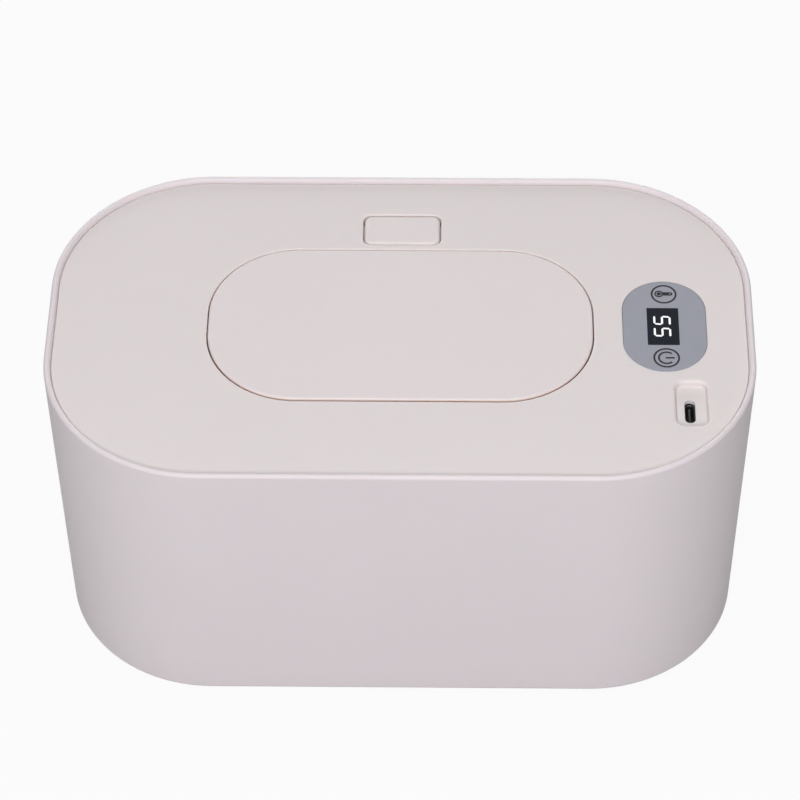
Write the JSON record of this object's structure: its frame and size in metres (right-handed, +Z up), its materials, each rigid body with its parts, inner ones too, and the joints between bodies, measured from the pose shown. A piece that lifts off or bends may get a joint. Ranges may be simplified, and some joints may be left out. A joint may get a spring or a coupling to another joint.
{
  "type": "baby wipe warmer",
  "caption": "Rounded rectangular tub with a lift-off cover, a hinged push-button lid over a dispensing throat, a heater plate above the wipes, and a small temperature panel.",
  "frame": {"origin": "centre of the footprint, on the plane that the feet rest on", "axes": "+X along the length towards the temperature panel, +Y towards the side with the push button, which is the back in the picture, +Z up"},
  "size_m": [0.22, 0.131, 0.1058],
  "materials": {
    "shell_abs": "satin moulded ABS",
    "cover_abs": "satin moulded ABS",
    "inner_pp": "moulded polypropylene",
    "panel_film": "printed polycarbonate film, fine matt",
    "display": "dark potted display",
    "foot_rubber": "matt",
    "silicone": "moulded silicone",
    "wire_cover": "extruded silicone sleeve",
    "circuit_board": "solder mask",
    "heater_foil": "polyimide film",
    "sensor_bead": "dipped epoxy",
    "steel": "zinc plated",
    "aluminium": "rolled sheet"
  },
  "bodies": {
    "tub": {"outer_shell": "shell_abs", "inner_liner": "inner_pp", "rubber_foot_1": "foot_rubber", "rubber_foot_2": "foot_rubber", "rubber_foot_3": "foot_rubber", "rubber_foot_4": "foot_rubber"},
    "cover": {"cover_panel": "cover_abs", "inner_cover": "inner_pp", "cover_seal": "silicone", "heater_plate": "aluminium", "heater_film": "heater_foil", "thermal_fuse": "aluminium", "thermistor": "sensor_bead", "heater_lead_1": "wire_cover", "heater_lead_2": "wire_cover", "sensor_lead": "silicone", "control_film": "panel_film", "display_module": "display", "control_board": "circuit_board", "usb_socket": "steel", "touch_spring_1": "steel", "touch_spring_2": "steel", "hinge_pin": "steel", "lid_spring": "steel", "latch_bracket": "inner_pp", "latch_spring": "steel", "button_spring_1": "steel", "button_spring_2": "steel", "cover_screw_1": "steel", "cover_screw_2": "steel", "cover_screw_3": "steel", "cover_screw_4": "steel", "cover_screw_5": "steel", "cover_screw_6": "steel", "plate_screw_1": "steel", "plate_screw_2": "steel", "plate_screw_3": "steel", "plate_screw_4": "steel", "board_screw_1": "steel", "board_screw_2": "steel", "board_screw_3": "steel", "bracket_screw_1": "steel", "bracket_screw_2": "steel"},
    "lid": {"lid": "cover_abs", "lid_gasket": "silicone"},
    "button": {"release_button": "cover_abs"},
    "latch": {"latch_bolt": "inner_pp"}
  },
  "joints": [
    {"name": "cover_lift", "type": "slide", "parent": "tub", "child": "cover", "axis": [0, 0, 1], "range_m": [0, 0.08]},
    {"name": "lid_hinge", "type": "hinge", "parent": "cover", "child": "lid", "pos_m": [0, -0.0374, 0.0996], "axis": [1, 0, 0], "range_deg": [0, 95]},
    {"name": "button_press", "type": "slide", "parent": "cover", "child": "button", "axis": [0, 0, -1], "range_m": [0, 0.002], "stiffness_N_per_m": 300, "springref_m": -0.003, "deforming": ["button_spring_1", "button_spring_2"]},
    {"name": "latch_slide", "type": "slide", "parent": "cover", "child": "latch", "axis": [0, 1, 0], "range_m": [0, 0.002], "stiffness_N_per_m": 100, "springref_m": -0.003, "deforming": ["latch_spring"]}
  ],
  "couplings": [
    {"joint": "latch_slide", "follows": "button_press", "ratio": 1}
  ]
}
